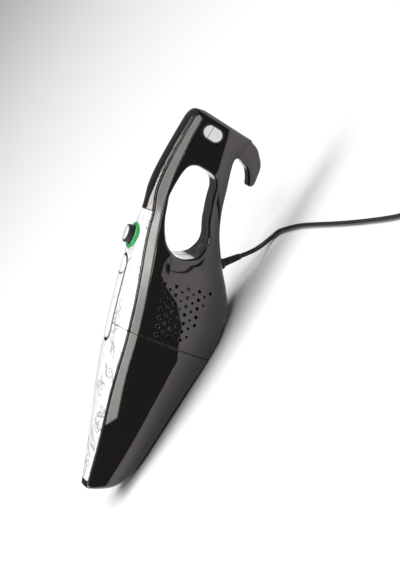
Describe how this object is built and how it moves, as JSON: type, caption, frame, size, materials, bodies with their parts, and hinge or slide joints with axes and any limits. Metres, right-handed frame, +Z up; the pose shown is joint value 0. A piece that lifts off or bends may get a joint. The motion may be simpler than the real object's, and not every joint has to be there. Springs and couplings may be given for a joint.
{
  "type": "handheld vacuum cleaner",
  "caption": "Corded handheld vacuum with pull-off dust container, closed-loop handle, dial on a green light ring, flank vents, cord hook and coiled mains cord.",
  "frame": {"origin": "under the middle of the machine, on the surface its flat underside rests on", "axes": "+Z up, nose towards -X, rear end towards +X, width along Y"},
  "size_m": [0.5188, 0.5005, 0.1536],
  "materials": {
    "black_gloss": "gloss",
    "white_cover": "gloss, printed grey scrolls",
    "grey_trim": "satin",
    "green_ring": "translucent gloss",
    "knob_dark": "satin",
    "bright_cap": "bright",
    "dark_plastic": "matte",
    "rubber_black": "matte",
    "cord_jacket": "matte",
    "steel": "satin",
    "alloy": "satin",
    "copper": "satin",
    "brass": "satin",
    "board_green": "satin",
    "filter_cloth": "matte"
  },
  "bodies": {
    "motor_unit": {"housing_left": "black_gloss", "housing_right": "black_gloss", "rear_cover": "white_cover", "side_trim_left_rear": "grey_trim", "side_trim_right_rear": "grey_trim", "bulkhead": "dark_plastic", "inlet_grille": "dark_plastic", "container_seal": "rubber_black", "fan_shroud": "alloy", "diffuser_plate": "dark_plastic", "motor_can": "steel", "motor_end_plate": "steel", "stator_core": "steel", "front_bearing": "steel", "rear_bearing": "steel", "brush_holder_left": "brass", "brush_holder_right": "brass", "front_mount": "rubber_black", "rear_mount": "rubber_black", "rotary_switch": "dark_plastic", "dial_light_ring": "green_ring", "control_board": "board_green", "power_switch": "dark_plastic", "button_bezel": "dark_plastic", "cord_clamp": "dark_plastic", "housing_screw_1": "steel", "housing_screw_2": "steel", "housing_screw_3": "steel", "housing_screw_4": "steel", "housing_screw_5": "steel", "housing_screw_6": "steel", "latch_bed": "dark_plastic", "latch_pin": "steel", "latch_spring": "steel", "strain_relief": "rubber_black", "power_cord": "cord_jacket", "cord_coil": "cord_jacket", "cord_clip": "dark_plastic", "plug_lead": "cord_jacket", "plug_body": "dark_plastic", "plug_pin_1": "brass", "plug_pin_2": "brass"},
    "rotor": {"rotor_shaft": "steel", "armature_core": "copper", "commutator": "copper", "impeller": "alloy"},
    "container": {"container_shell": "black_gloss", "container_cover": "white_cover", "side_trim_left_front": "grey_trim", "side_trim_right_front": "grey_trim", "inlet_frame": "dark_plastic", "latch_keeper": "dark_plastic"},
    "flap": {"inlet_flap": "rubber_black"},
    "filter": {"filter_frame": "dark_plastic", "filter_pleats": "filter_cloth"},
    "dial": {"dial_knob": "knob_dark", "dial_cap": "bright_cap"},
    "latch": {"latch_lever": "white_cover"},
    "button": {"power_button": "white_cover"}
  },
  "joints": [
    {"name": "container_release", "type": "slide", "parent": "motor_unit", "child": "container", "axis": [-0.9864, 0, -0.1641], "range_m": [0, 0.13]},
    {"name": "filter_pull", "type": "slide", "parent": "motor_unit", "child": "filter", "axis": [-0.9864, 0, -0.1641], "range_m": [0, 0.006]},
    {"name": "inlet_flap_hinge", "type": "hinge", "parent": "container", "child": "flap", "pos_m": [-0.1489, 0, 0.0536], "axis": [0, -1, 0], "range_deg": [0, 60], "stiffness_Nm_per_rad": 0.002, "springref_deg": -8.59},
    {"name": "dial_turn", "type": "hinge", "parent": "motor_unit", "child": "dial", "pos_m": [0.0528, 0, 0.13716], "axis": [-0.1908, 0, 0.9816], "range_deg": [0, 270]},
    {"name": "latch_rock", "type": "hinge", "parent": "motor_unit", "child": "latch", "pos_m": [-0.006, 0, 0.1147], "axis": [0, 1, 0], "range_deg": [0, 3.5], "stiffness_Nm_per_rad": 2, "springref_deg": -2.86},
    {"name": "rotor_spin", "type": "hinge", "parent": "motor_unit", "child": "rotor", "pos_m": [0, 0, 0.058], "axis": [1, 0, 0], "continuous": true},
    {"name": "power_button_push", "type": "slide", "parent": "motor_unit", "child": "button", "axis": [0, 1, 0], "range_m": [0, 0.002], "stiffness_N_per_m": 1500, "springref_m": -0.001}
  ]
}
